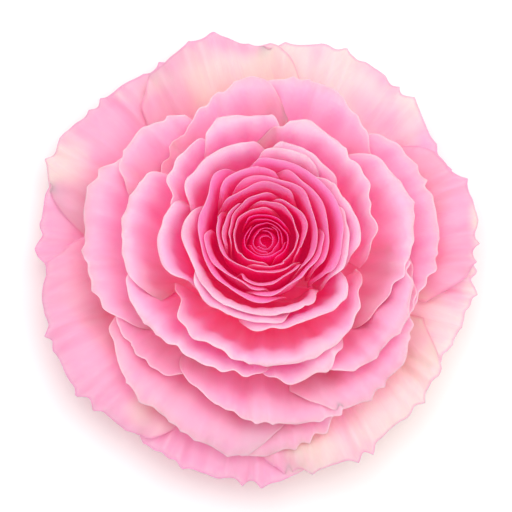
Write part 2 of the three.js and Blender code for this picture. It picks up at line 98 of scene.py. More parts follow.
# what each wave of a petal adds to its seed, and then the sepals' waves
PATCH_DRAW, CRIMP_DRAW, DRIFT_DRAW, TOOTH_DRAW, LIP_DRAW, TONE_DRAW = 5.1, 7.3, 4.7, 8.9, 2.2, 11.7
LOBE_DRAW, EDGE_DRAW, SEPAL_TONE_DRAW = 40, 50.1, 60

# what the bud core and the hip carry at every point in place of a petal's values
PLAIN_VALUES = {
    "arc": 0.0, "lit_face": 0.0, "along": 0.0, "drop": 30.0, "margin": 5.0, "tone": 0.5, "inside": 0.0,
}

# ---------------------------------------------------------------- bud core, hip and sepals (millimetres)
CORE_PROFILE = [(0, 22.8), (2.2, 23), (3.5, 27), (4.2, 32), (4.2, 35), (3.4, 37.5), (0, 38.6)]
CORE_GRID = (40, 36)
POLE_RADIUS = 0.01
FOOT_SEAT = 0.65  # the receptacle lies this far under the line of the feet
RECEPTACLE_POINTS = 9
RECEPTACLE_CROWN = 0.2
HIP_GRID = (90, 72)
HIP_PROFILE = [
    (0, 0), (2.8, 0), (3, 0.2), (3, 1.2), (3.4, 1.9), (4.2, 2.6), (5.4, 3.15), (6.5, 3.8), (7.3, 4.6),
    (7.8, 5.4), (8.3, 6.3), (8.6, 7.4),
]
SEPAL_COUNT = 5
SEPAL_GRID = (33, 81)
SEPAL_LINE = np.array([(5, 7.4), (16, 8.6), (26, 0.6)])  # Bezier from the hip to the tip
SEPAL_HALF_WIDTH = 3.6
SEPAL_TIP = 0.4  # half width left at the tip
SEPAL_LOBES = 0.1
SEPAL_EDGE_WAVE = 0.35
SEPAL_CURL = 0.5
SEPAL_RIB = 0.35
SEPAL_RIB_WIDTH = 0.12  # of the half width
SEPAL_THICKNESS = 0.5
SEPAL_THIN_EDGE = 0.25

# meridians of the nested sheets, by rim radius: lower handle (r, z), upper handle (r, z), rim height
MERIDIANS = np.array([
    (0, 2.6, 27, 3, 39, 44.0),
    (4, 6.8, 27, 5.2, 42, 46.4),
    (8, 11, 26, 8, 45.5, 49.0),
    (14, 16.2, 24.5, 11.8, 48.4, 51.2),
    (20, 20.2, 22, 15.6, 49.4, 50.8),
    (28, 25.4, 18, 21.8, 49, 47.4),
    (37, 30.4, 13, 30, 45, 40.0),
    (46, 34.4, 8.5, 36.8, 38.4, 30.6),
    (54, 37.2, 4.5, 42, 31, 20.8),
    (62, 39.2, 1, 47.4, 22, 10.4),
    (68, 40.6, -1, 51.6, 15, 2.6),
])

# rims from the heart outwards: azimuth and radius from above, along each petal's free edge
HEART_RIMS = [
    [(0, 0.9), (150, 0.9), (300, 1.1)],
    [(200, 1.5), (330, 1.6), (480, 1.7)],
    [(40, 2.1), (160, 2.2), (300, 2.3)],
    [(180, 2.7), (300, 2.8), (440, 2.9)],
    [(330, 3.3), (430, 3.4), (560, 3.5)],
    [(120, 3.8), (240, 3.9), (370, 4)],
    [(280, 4.3), (400, 4.3), (500, 4.5)],
    [(20, 4.9), (45, 5.1), (90, 5.4), (130, 6.1), (150, 6.2)],
]
FURLED_RIMS = [
    [(52, 6.6), (90, 6.4), (110, 6.6), (126, 7.2), (142, 7.5), (158, 7.3), (195, 6.9), (225, 6.3),
     (262, 5.3), (302, 5.2)],
    [(212, 6.6), (240, 6), (262, 5.8), (285, 5.9), (310, 6.5), (330, 7.1), (370, 7.6), (390, 8),
     (440, 8.2), (470, 8.4), (492, 8)],
    [(308, 6.9), (330, 7.6), (345, 7.9), (365, 8.7), (377, 9.6), (390, 10), (420, 10), (436, 9.8),
     (455, 9.4)],
    [(60, 10.6), (90, 10.5), (110, 10), (123, 9), (139, 8.3), (155, 8.2), (195, 8), (212, 7.6)],
    [(112, 11), (124, 10.9), (136, 10.2), (158, 9.6), (180, 9.3), (205, 8.6)],
    [(128, 13), (150, 12.6), (165, 11.8), (195, 10.5), (210, 10), (225, 8.7), (240, 7.8), (262, 7.1),
     (285, 7), (300, 7.7), (315, 8.7), (330, 9.6), (344, 10.1)],
    [(40, 12.6), (60, 12.4), (90, 12.8), (105, 12.6), (120, 12.3), (135, 12.9), (155, 13.2)],
    [(222, 9.2), (232, 10.2), (246, 11.2), (266, 11.5), (282, 11), (298, 10.5), (312, 10.2), (326, 10.2),
     (338, 10)],
    [(290, 11.4), (333, 11.6), (360, 11.9), (383, 12.7), (398, 13.1), (414, 14.4), (440, 14.2),
     (480, 14.2), (505, 14)],
    [(157, 14), (170, 14.4), (184, 14.4), (207, 13.6), (220, 13.1), (232, 12.6), (245, 12.4), (257, 12.6),
     (270, 12.6), (287, 12)],
    [(68, 15.5), (90, 16.5), (110, 17.3), (129, 16.8), (147, 15.4)],
    [(238, 13.6), (250, 13.9), (270, 14), (283, 13.8), (297, 13.3), (310, 12.8), (322, 12.7), (333, 13),
     (352, 13.8), (370, 14.4), (385, 15)],
    [(314, 14.6), (340, 14.8), (365, 15), (380, 15.4), (400, 16), (420, 16.4), (440, 17), (454, 17.2)],
    [(308, 16.5), (326, 17.8), (344, 18.5), (380, 19.3), (420, 19), (450, 19.3), (482, 18)],
    [(96, 24), (110, 21.4), (121, 20.6), (133, 18.8), (145, 16.8), (163, 15.8), (182, 15.2), (200, 15),
     (236, 15.2), (256, 15.2), (280, 15.2), (304, 14.6)],
]
CUPPED_RIMS = [
    [(136, 17.5), (144, 19.2), (154, 20), (166, 19.9), (183, 19.7), (199, 19.1), (214, 19), (229, 19.3),
     (244, 19.6), (256, 19), (270, 19.1), (283, 19.4), (292, 19.9), (301, 20), (307, 19.7), (319, 18.5),
     (330, 17)],
    [(190, 19.5), (205, 20.5), (222, 21), (241, 20.8), (256, 20.8), (270, 21.2), (288, 21.4), (300, 20.5)],
    [(316, 18), (335, 20.3), (348, 20.4), (363, 20.4), (372, 19.7), (386, 19.6), (396, 19)],
    [(246, 20.5), (258, 22.2), (270, 22.5), (285, 22.4), (296, 22.5), (303, 23.1), (311, 24.1), (324, 25),
     (334, 24.5), (346, 22.5)],
    [(336, 22), (350, 23.4), (360, 23.4), (375, 22.7), (383, 21.7), (390, 20.9), (395, 20.7), (403, 20.3),
     (409, 19.4), (425, 19.2), (440, 18.5)],
    [(40, 20), (53, 22), (67, 22.6), (80, 22.4), (92, 21.6), (104, 21)],
    [(388, 20), (397, 21.8), (407, 22.6), (413, 23.2), (420, 24), (435, 24.2), (441, 24.8), (448, 23.4),
     (456, 22)],
    [(80, 22), (90, 23.6), (105, 24.3), (120, 24.7), (128, 24.7), (136, 23.7), (143, 24.2), (155, 23.3),
     (166, 21.5)],
    [(146, 21.5), (157, 24.8), (168, 25.2), (178, 26.3), (199, 26), (208, 25), (217, 23.5)],
]
MIDDLE_RIMS = [
    [(200, 24), (225, 27.5), (250, 30), (277, 31.5), (305, 31), (325, 28), (350, 23)],
    [(346, 24), (358, 26), (376, 27.5), (397, 29), (423, 31.5), (444, 30.5), (454, 27)],
    [(75, 27), (86, 31.5), (104, 32.5), (114, 32), (127, 27)],
    [(114, 27), (121, 30), (129, 30.5), (139, 29.5), (149, 27), (166, 24)],
    [(137, 27.5), (148, 33), (165, 36), (178, 35.5), (190, 35), (207, 32)],
    [(181, 31), (190, 35), (200, 36), (214, 36), (231, 34), (255, 33), (268, 32), (280, 29)],
    [(264, 31), (272, 33), (280, 34), (288, 35), (298, 34.5), (312, 31)],
    [(309, 28), (320, 30), (331, 31.5), (352, 35.5), (373, 38), (392, 36), (405, 33), (420, 28)],
]
OUTER_RIMS = [
    [(286, 32), (294, 35), (306, 38.5), (321, 39.5), (340, 39), (352, 36), (368, 31)],
    [(280, 39), (288, 43), (301, 45.5), (320, 45), (335, 40.5), (352, 37), (370, 32)],
    [(226, 32), (235, 36), (244, 38.5), (262, 43), (280, 44.5), (297, 45), (309, 39)],
    [(80, 37), (87, 43), (93, 45), (100, 43), (107, 41), (124, 36.5), (140, 33), (154, 28)],
    [(396, 34), (405, 38), (417, 41), (429, 44.5), (441, 44.5), (451, 42), (460, 37)],
    [(324, 36), (335, 39), (347, 41.5), (368, 44), (393, 43.5), (405, 41.5), (417, 37)],
    [(114, 35), (120, 39.5), (128, 42), (135, 43.5), (143, 43.5), (151, 42), (161, 37)],
    [(139, 38), (144, 43), (152, 46), (165, 47), (182, 45.5), (194, 44), (204, 41.5), (216, 36)],
    [(192, 37), (202, 40.5), (214, 41), (224, 40), (234, 37.5), (254, 33)],
    [(194, 38), (203, 42), (214, 45), (228, 48.5), (240, 49), (250, 50.5), (259, 52), (270, 50), (279, 46)],
    [(248, 46), (257, 50), (265, 51.5), (278, 50), (289, 47), (297, 44), (305, 41)],
]
GUARD_RIMS = [
    [(344, 45), (356, 52.5), (366, 54.5), (374, 55.5), (384, 52.5), (393, 50), (403, 43)],
    [(76, 48), (86, 55.5), (96, 58), (106, 60), (115, 58.5), (124, 55), (134, 46)],
    [(261, 46), (272, 53.5), (281, 56), (295, 56), (306, 54.5), (314, 54.5), (327, 52.5), (339, 45)],
    [(171, 48), (183, 55.5), (194, 58), (208, 58.5), (225, 57.5), (237, 55), (249, 47)],
    [(364, 43), (378, 50.5), (391, 52.5), (408, 55.5), (419, 57.5), (437, 58), (450, 55.5), (463, 46)],
    [(105, 48), (117, 56.5), (128, 59), (141, 60.5), (155, 61.5), (164, 57), (173, 49)],
    [(311, 44), (323, 51.5), (335, 52.5), (350, 54), (361, 52.5), (373, 44)],
    [(221, 47), (234, 55), (247, 57), (257, 57), (265, 58), (276, 56.5), (287, 53), (296, 46)],
    [(146, 50), (157, 57.5), (168, 59), (178, 58), (190, 54), (203, 50), (216, 47), (228, 41)],
    [(98, 50), (108, 57.5), (117, 59), (125, 56.5), (133, 49)],
]


# ---------------------------------------------------------------- lines and nested sheets
def smoothstep(x, low, high):
    """0 below low, 1 above high, and 3f^2 - 2f^3 between them."""
    f = np.clip((x - low) / (high - low), 0, 1)
    return f * f * (3 - 2 * f)


def smooth_line(x, xs, ys):
    """Cubic Hermite line through the points; the slope at one is that of the chord between its neighbours."""
    xs, ys = np.asarray(xs, float), np.asarray(ys, float)
    before, after = np.maximum(np.arange(len(xs)) - 1, 0), np.minimum(np.arange(len(xs)) + 1, len(xs) - 1)
    slope = (ys[after] - ys[before]) / (xs[after] - xs[before])
    x = np.clip(x, xs[0], xs[-1])
    i = np.clip(np.searchsorted(xs, x, side="right") - 1, 0, len(xs) - 2)
    span = xs[i + 1] - xs[i]
    f = (x - xs[i]) / span
    return (
        (1 + 2 * f) * (1 - f) ** 2 * ys[i]
        + f * (1 - f) ** 2 * span * slope[i]
        + f * f * (3 - 2 * f) * ys[i + 1]
        + f * f * (f - 1) * span * slope[i + 1]
    )


def on_sheet(rim, t, foot):
    """Radius and height at share t of a sheet's length: a cubic Bezier from the foot to the rim."""
    r1, z1, r2, z2, z3 = (smooth_line(rim, MERIDIANS[:, 0], MERIDIANS[:, k]) for k in range(1, 6))
    b0, b1, b2, b3 = (1 - t) ** 3, 3 * t * (1 - t) ** 2, 3 * t * t * (1 - t), t**3
    return b0 * foot[0] + b1 * r1 + b2 * r2 + b3 * rim, b0 * foot[1] + b1 * z1 + b2 * z2 + b3 * z3


def rim_slope(rim):
    """How fast the radius grows along a sheet near its rim, three times the way from the upper handle to the
    rim; upright sheets count as if they flared."""
    return np.maximum(3 * (rim - smooth_line(rim, MERIDIANS[:, 0], MERIDIANS[:, 3])), LEAST_RIM_SLOPE)


def foot_line(share, depth=0.0):
    """Point of the quadratic Bezier that the feet stand on, moved inwards by the depth."""
    top, bend, low = FOOT_LINE
    share = np.asarray(share, float)[..., None]
    point = (1 - share) ** 2 * top + 2 * share * (1 - share) * bend + share**2 * low
    slope = (1 - share) * (bend - top) + share * (low - bend)
    slope = slope / np.linalg.norm(slope, axis=-1, keepdims=True)
    return point + depth * np.stack([slope[..., 1], -slope[..., 0]], -1)


class Bloom:
    """Lays the petals outwards, each just outside those it wraps."""

    def __init__(self):
        self.laid = np.zeros(int(360 / FACE_STEP))
        self.rims = np.zeros(int(360 / FACE_STEP))
        self.feet = []
        self.petals = []

    def lay(self, rim, packing=1.0):
        """Rim radius and sheet by azimuth, with the petal's centre, half width, the level of its foot and the
        room outside it. The sheet is the softened larger of its own and the sheet below plus the spacing:
        (a + b + hypot(a - b, softness)) / 2. Near the heart, both ends of a rim tuck in behind the inner
        rims."""
        azimuths, radii = np.array(rim, float).T
        places = np.arange(azimuths[0], azimuths[-1] + 1e-6, FACE_STEP)
        radius = smooth_line(places, azimuths, radii)
        cells = np.floor(places / FACE_STEP + 0.5).astype(int) % len(self.laid)
        from_end = np.minimum(places - places[0], places[-1] - places)
        tuck = (1 - smoothstep(from_end, 0, TUCK_SPAN)) * (1 - smoothstep(radius.max(), *TUCKED_RIMS))
        radius = radius + tuck * np.minimum(self.rims[cells] + TUCK_GAP - radius, 0)
        self.rims[cells] = np.maximum(self.rims[cells], radius)
        own = radius + smoothstep(radius.max(), *EVEN_RIMS) * (radius.max() - radius)
        below = self.wrapped()[cells]
        least = below + packing * smooth_line(below, *SHEET_SPACING.T)
        sheet = own if self.laid.max() == 0 else 0.5 * (own + least + np.hypot(own - least, SHEET_SOFTNESS))
        self.laid[cells] = np.maximum(self.laid[cells], sheet)
        centre, half_width = 0.5 * (azimuths[0] + azimuths[-1]), 0.5 * (azimuths[-1] - azimuths[0])
        self.narrow_rooms(dict(zip(cells, sheet)))
        petal = {"places": places, "cells": cells, "radius": radius, "sheet": sheet, "centre": centre,
                 "half_width": half_width, "level": self.foot_level(centre, half_width),
                 "room": np.full(len(places), OPEN_ROOM)}
        self.petals.append(petal)
        return petal

    def narrow_rooms(self, outside):
        """The room outside each petal already laid ends at the sheet of the new one."""
        for inner in self.petals:
            beyond = np.array([outside.get(cell, np.inf) for cell in inner["cells"]]) - inner["sheet"]
            inner["room"] = np.minimum(inner["room"], beyond)

    def wrapped(self):
        """The sheets laid so far as a petal wraps them: a closing bridges the narrow dents with parabolas,
        the slack times the square of the way, and then a running maximum and mean ease edges."""
        bridged = self.laid
        reach = int(BRIDGE_REACH / FACE_STEP)
        for side in (1, -1):
            slack = side * BRIDGE_SLACK * np.maximum(bridged / SLACK_RADIUS, 1) ** 2
            offsets = range(-reach, reach + 1)
            moved = [np.roll(bridged, k) - np.roll(slack, k) * (k * FACE_STEP) ** 2 for k in offsets]
            bridged = np.max(moved, axis=0) if side > 0 else np.min(moved, axis=0)
        bridged = np.maximum(bridged, self.laid)
        offsets = range(-BLEND_STEPS, BLEND_STEPS + 1)
        widened = np.max([np.roll(bridged, k) for k in offsets], axis=0)
        return np.mean([np.roll(widened, k) for k in offsets], axis=0)

    def foot_level(self, centre, half_width):
        """A foot stands one level lower than the feet near it, and no higher than those its petal wraps."""
        level = 0
        for other_centre, other_half, other_level in self.feet:
            apart = abs((centre - other_centre + 180) % 360 - 180)
            both = half_width + other_half
            if apart < both:
                near = apart < max(CLAW_CLEARANCE, WIDTH_CLEARANCE * both)
                level = max(level, other_level + (1 if near else 0))
        self.feet.append((centre, half_width, level))
        return level


def draw(seed):
    """Seeded draw from 0 to 1, the same every run."""
    return np.modf(np.sin(seed * 12.9898 + 4.1414) * 43758.5453 + 1e5)[0] % 1


def wave(turns, seed):
    """0.6 sin(turns) + 0.4 sin(0.62 turns), each at its own drawn phase: between -1 and 1."""
    first, second = turns + draw(seed), 0.62 * turns + draw(seed + 0.5)
    return 0.6 * np.sin(2 * np.pi * first) + 0.4 * np.sin(2 * np.pi * second)


def shared_wave(azimuth, many, few, shift):
    """Wave round the whole bloom, so that petals lying on each other fold alike:
    0.6 sin(many * angle + shift) + 0.4 sin(few * angle + 1.3)."""
    angle = np.radians(azimuth)
    return 0.6 * np.sin(many * angle + shift) + 0.4 * np.sin(few * angle + 1.3)


# ---------------------------------------------------------------- meshes
def sheet_mesh(middle, thickness, attributes):
    """One closed petal from its middle surface: both faces stand half the thickness off it along its normal,
    and a wall of quads runs round the free edge. The grids are indexed [across, along]."""
    across = np.gradient(middle, axis=0)
    lengthwise = np.gradient(middle, axis=1)
    normal = np.cross(across, lengthwise)
    normal /= np.linalg.norm(normal, axis=-1, keepdims=True) + 1e-12
    faces = [middle + normal * thickness[..., None] * side for side in (0.5, -0.5)]
    rows, columns = middle.shape[:2]
    ids = np.arange(rows * columns).reshape(rows, columns)
    a, b, c, d = ids[:-1, :-1], ids[1:, :-1], ids[1:, 1:], ids[:-1, 1:]
    top = np.stack([a, b, c, d], -1).reshape(-1, 4)
    bottom = np.stack([a, d, c, b], -1).reshape(-1, 4) + rows * columns
    border = np.concatenate([ids[:-1, 0], ids[-1, :-1], ids[:0:-1, -1], ids[0, :0:-1]])
    follow = np.roll(border, -1)
    wall = np.stack([border, border + rows * columns, follow + rows * columns, follow], -1)
    values = {key: np.concatenate([np.ravel(value)] * 2) for key, value in attributes.items()}
    values["inside"] = np.repeat([1.0, 0.0], rows * columns)
    points = np.concatenate([face.reshape(-1, 3) for face in faces]) * MM
    corners = np.concatenate([top, bottom, wall]).ravel()
    return points, corners, np.full(len(corners) // 4, 4), values


def turned(profile, rows, sides):
    """Surface of revolution: the line through the profile's points, turned about Z. It starts and ends on the
    axis, where a tiny disc closes it."""
    radii, heights = np.array(profile, float).T
    lengths = np.concatenate([[0], np.cumsum(np.hypot(np.diff(radii), np.diff(heights)))])
    along, around = np.linspace(0, lengths[-1], rows), np.linspace(0, 2 * np.pi, sides, endpoint=False)
    s, angle = np.meshgrid(along, around, indexing="ij")
    r, z = np.maximum(np.interp(s, lengths, radii), POLE_RADIUS), np.interp(s, lengths, heights)
    points = np.stack([r * np.cos(angle), r * np.sin(angle), z], -1).reshape(-1, 3) * MM
    ids = np.arange(rows * sides).reshape(rows, sides)
    follow = np.roll(ids, -1, axis=1)
    quads = np.stack([ids[:-1], follow[:-1], follow[1:], ids[1:]], -1).reshape(-1, 4)
    corners = np.concatenate([quads.ravel(), ids[0, ::-1], ids[-1]])
    sizes = np.concatenate([np.full(len(quads), 4), [sides, sides]])
    values = {key: np.full(rows * sides, value) for key, value in PLAIN_VALUES.items()}
    return points, corners, sizes, values


def joined(parts):
    """Several closed shells in one set of arrays."""
    points, corners, sizes, values = zip(*parts)
    starts = np.cumsum([0, *(len(part) for part in points[:-1])])
    moved = [part + start for part, start in zip(corners, starts)]
    merged = {key: np.concatenate([value[key] for value in values]) for key in values[0]}
    return np.concatenate(points), np.concatenate(moved), np.concatenate(sizes), merged


def build_piece(name, parts, material, replaced):
    """Makes the mesh object, its attributes and its UV map, hangs it under the root body and hides the
    imported part that it stands for.
    """
    points, corners, sizes, values = parts
    mesh = bpy.data.meshes.new(name)
    mesh.vertices.add(len(points))
    mesh.vertices.foreach_set("co", points.ravel())
    mesh.loops.add(len(corners))
    mesh.loops.foreach_set("vertex_index", corners)
    mesh.polygons.add(len(sizes))
    mesh.polygons.foreach_set("loop_start", np.cumsum(sizes) - sizes)
    mesh.polygons.foreach_set("loop_total", sizes)
    mesh.update(calc_edges=True)
    mesh.polygons.foreach_set("use_smooth", np.ones(len(sizes), bool))
    uv = np.stack([values["arc"], values["along"]], -1)[corners]
    mesh.uv_layers.new(name="petal").data.foreach_set("uv", uv.ravel())
    for key, value in values.items():
        mesh.attributes.new(key, "FLOAT", "POINT").data.foreach_set("value", value.astype(np.float32))
    mesh.materials.append(material)
    mesh.update()
    piece = bpy.data.objects.new(name, mesh)
    bpy.context.scene.collection.objects.link(piece)
    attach(piece, "root")
    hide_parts(replaced)


# ---------------------------------------------------------------- petals and sepals
def rim_waves(petal, seed, look, u):
    """What waves along the rim: the long ruffle, the short crimp, the stretches that crimp, and the reach,
    the share of its sheet's length at which the petal ends. The reach falls short by (sheet - radius) / rim
    slope, drops off at the corners and carries the ruffle, the crimp and teeth, 1 - 2 |sin(pi * pace)|."""
    rim_azimuth = petal["centre"] + petal["half_width"] * u
    radius = np.interp(rim_azimuth, petal["places"], petal["radius"])
    rim_sheet = np.interp(rim_azimuth, petal["places"], petal["sheet"])
    arc = np.radians(petal["half_width"] * u) * np.maximum(radius, LEAST_ARC_RADIUS)
    shared = shared_wave(rim_azimuth, *RUFFLE_WAVES, 0)
    ruffle = OWN_RUFFLE * wave(arc / RUFFLE_LENGTH, seed) + (1 - OWN_RUFFLE) * shared
    patchy = 0.3 + 0.7 * smoothstep(wave(arc / look["patch_length"], seed + PATCH_DRAW), -0.6, 0.5)
    crimp = wave(arc / look["crimp_length"], seed + CRIMP_DRAW)
    drift = TOOTH_DRIFT * wave(arc / TOOTH_DRIFT_LENGTH, seed + DRIFT_DRAW)
    pace = arc / look["tooth_length"] + draw(seed + TOOTH_DRAW) + drift
    tooth = 1 - 2 * np.abs(np.sin(np.pi * pace))
    outerness = smoothstep(radius, *RUFFLED_RIMS)
    reach = 1 - (rim_sheet - radius) / rim_slope(rim_sheet) + RUFFLE_REACH * outerness * ruffle
    corner_start = 1 - min(look["corner_share"], look["corner_span"] / petal["half_width"])
    reach = reach * (1 - look["corner"] * smoothstep(np.abs(u), corner_start, 1.0) ** 1.6)
    reach = reach + (look["crimp_reach"] * crimp + look["tooth_reach"] * tooth) * patchy
    return radius, arc, ruffle, crimp, patchy, outerness, reach


def petal_parts(petal, seed, foot, look, start=0.0):
    """Petal on the grid u in -1..1, v in 0..1: at azimuth centre + half width * u * spread(t), on the sheet
    of that azimuth, at share t = v * reach(u) of its length. A lip rolled outwards, folds, the ruffle and the
    crimp are then laid on it along its outward normal, each a height times its growth towards the rim. The
    arc from the petal's middle and the drop, the way left to the rim, are those of the plain sheet; margin
    is the way to the nearest free edge."""
    steps = np.linspace(0, 1, look["along"] + 1)
    rows = start + (1 - start) * steps * (1 + ROW_CROWDING - ROW_CROWDING * steps)
    u, v = np.meshgrid(np.linspace(-1, 1, look["across"] + 1), rows, indexing="ij")
    radius, rim_arc, ruffle, crimp, patchy, outerness, reach = rim_waves(petal, seed, look, u)
    t = v * reach
    claw = min(1.0, CLAW_HALF_WIDTH / petal["half_width"])
    spread = 1 - (1 - np.minimum(t / SPREAD_END, 1)) ** 2
    azimuth = petal["centre"] + petal["half_width"] * u * (claw + (1 - claw) * spread)
    r, z = on_sheet(np.interp(azimuth, petal["places"], petal["sheet"]), t, foot)
    z = z + RUFFLE_HEIGHT * outerness * ruffle * v**4
    face_arc = np.radians(azimuth - petal["centre"]) * np.maximum(r, LEAST_ARC_RADIUS)
    run_r, run_z = np.gradient(r, axis=1), np.gradient(z, axis=1)
    run = np.hypot(run_r, run_z) + 1e-9
    gone = np.cumsum(run, axis=1)
    drop = gone[:, -1:] - gone
    lip_wave = wave(rim_arc / look["lip_length"], seed + LIP_DRAW)
    lip = look["lip"] * (LIP_HEIGHTS[0] + LIP_HEIGHTS[1] * lip_wave)
    lip = np.minimum(lip, LIP_SHARE * np.interp(azimuth, petal["places"], petal["room"]))
    curl = np.clip(1 - drop / look["lip_depth"], 0, 1) ** LIP_GROWTH
    fold_share = np.sin(np.pi * np.clip(v * FOLD_HALF_TURNS, 0, 1)) ** FOLD_GROWTH
    fold = shared_wave(azimuth, *FOLD_WAVES, 2 * v) * fold_share
    near_rim = np.clip(1 - drop / look["ruffle_depth"], 0, 1)
    calm = 1 - CALM_SHARE * smoothstep(np.abs(u), *CALM_ENDS)
    out = lip * curl + look["fold_height"] * fold * calm
    out = out + look["ruffle_height"] * (ruffle - RISE) * near_rim**RUFFLE_GROWTH * calm
    out = out + look["crimp_height"] * (crimp - RISE) * patchy * near_rim**CRIMP_GROWTH * calm
    r = r + out * run_z / run
    z = z - out * run_r / run
    angle = np.radians(azimuth)
    middle = np.stack([r * np.cos(angle), r * np.sin(angle), z], -1)
    side = (1 - np.abs(u)) * np.radians(petal["half_width"]) * np.maximum(r, 1.0)
    margin = np.minimum(drop, side)
    thickness = look["thickness"] * (THIN_SHARE + (1 - THIN_SHARE) * smoothstep(margin, 0.0, THIN_MARGIN))
    # painted light: the open faces of the larger petals are painted paler, as if lit
    lit_face = smoothstep(radius, *LIT_FACE_RIMS) * smoothstep(np.hypot(middle[..., 0], middle[..., 1]), *LIT_FACE_PLACES)
    paint_scale = (look["paint_rim"] / np.clip(radius, *PAINTED_RIMS)) ** PAINT_POWER
    attributes = {
        "arc": face_arc * ARC_TO_UV,
        "lit_face": lit_face * (1 - smoothstep(drop, *look["lit_face_drop"])),
        "along": v,
        "drop": np.clip(drop * paint_scale, 0, LONGEST_DROP),
        "margin": np.clip(margin, 0, WIDEST_MARGIN),
        "tone": np.full_like(u, draw(seed + TONE_DRAW)),
    }
    return sheet_mesh(middle, thickness, attributes)


def sepal_parts(turn, seed):
    """Sepal on the grid u in -1..1, v in 0..1: it bends out from the hip and down to the surface along a
    quadratic Bezier. Its half width goes by (1 - v)^0.8 * (0.75 + v), swelling before it narrows to the tip;
    its sides curl up by the square of u, its edge waves and a rib runs down its middle."""
    across, along = SEPAL_GRID
    u, v = np.meshgrid(np.linspace(-1, 1, across), np.linspace(0, 1, along), indexing="ij")
    root, bend, tip = SEPAL_LINE
    r, z = ((1 - v) ** 2 * root[k] + 2 * v * (1 - v) * bend[k] + v * v * tip[k] for k in (0, 1))
    half_width = SEPAL_HALF_WIDTH * (1 - v) ** 0.8 * (0.75 + v) + SEPAL_TIP * v
    lobes = 1 + SEPAL_LOBES * wave(v * 5.5, seed + LOBE_DRAW) * smoothstep(v, 0.1, 0.4) * np.abs(u) ** 2
    side = u * half_width * lobes
    edge_wave = SEPAL_EDGE_WAVE * (np.abs(u) ** 3) * wave(v * 4, seed + EDGE_DRAW) * smoothstep(v, 0.05, 0.3)
    curl = SEPAL_CURL * u * u * (1 - v) + edge_wave
    rib = SEPAL_RIB * np.exp(-((u / SEPAL_RIB_WIDTH) ** 2)) * (1 - 0.7 * v)
    angle = math.radians(turn)
    x = r * math.cos(angle) - side * math.sin(angle)
    y = r * math.sin(angle) + side * math.cos(angle)
    middle = np.stack([x, y, z + curl], -1)
    thickness = SEPAL_THICKNESS + rib - SEPAL_THIN_EDGE * u * u
    attributes = {
        "arc": side * 0.3,
        "lit_face": np.zeros_like(u),
        "along": v,
        "drop": 25 * (1 - v),
        "margin": (1 - np.abs(u)) * half_width,
        "tone": np.full_like(u, draw(seed + SEPAL_TONE_DRAW)),
    }
    return sheet_mesh(middle, thickness, attributes)


def calyx_parts():
    """The hip with its receptacle, and five sepals bent down to the surface."""
    receptacle = [tuple(foot_line(share, FOOT_SEAT)) for share in np.linspace(1, 0, RECEPTACLE_POINTS)]
    hip = turned([*HIP_PROFILE, *receptacle, (0, receptacle[-1][1] + RECEPTACLE_CROWN)], *HIP_GRID)
    return [hip, *(sepal_parts(90 + 360 * k / SEPAL_COUNT, k) for k in range(SEPAL_COUNT))]


# ---------------------------------------------------------------- finishes
BUMP_STRENGTH = 0.3
BUMP_DEPTH = 0.0003  # metres
STREAK_STRETCH, STREAK_SCALE, STREAK_SHARE = (9.0, 0.9), 5.0, 0.18  # in the petals' UV, as the bands
# broad stripes along the petal, painted paler and darker like the light and shade of soft folds
BAND_STRETCH, BAND_SCALE, BAND_CONTRAST = (1.0, 0.4), 1.7, 0.16
CLOUD_SCALE, GRAIN_SCALE, MOTTLE_SCALE = 75.0, 420.0, 260.0  # in the object's own metres
CLOUD_DRIFT, TONE_DRIFT = 6.0, 2.5  # millimetres that the clouds and a petal's tone move its colours by
RECEPTACLE_HEIGHTS = (0.0085, 0.0105)  # metres; the hip's green fades to pink between them


class Socket:
    """A node's output that takes part in sums: each operator adds one Math node."""

    def __init__(self, paint, out):
        self.paint, self.out = paint, out

    def _math(self, operation, first, second):
        return self.paint.node("ShaderNodeMath", {"operation": operation}, {0: first, 1: second})

    def __add__(self, other):
        return self._math("ADD", self, other)

    def __sub__(self, other):
        return self._math("SUBTRACT", self, other)

    def __rsub__(self, other):
        return self._math("SUBTRACT", other, self)

    def __mul__(self, other):
        return self._math("MULTIPLY", self, other)

    __radd__ = __add__
    __rmul__ = __mul__

    def step(self, low, high):
        """Smooth step from 0 at low to 1 at high."""
        return self.paint.node(
            "ShaderNodeMapRange", {"interpolation_type": "SMOOTHSTEP"},
            {"Value": self, "From Min": low, "From Max": high, "To Min": 0.0, "To Max": 1.0},
        )


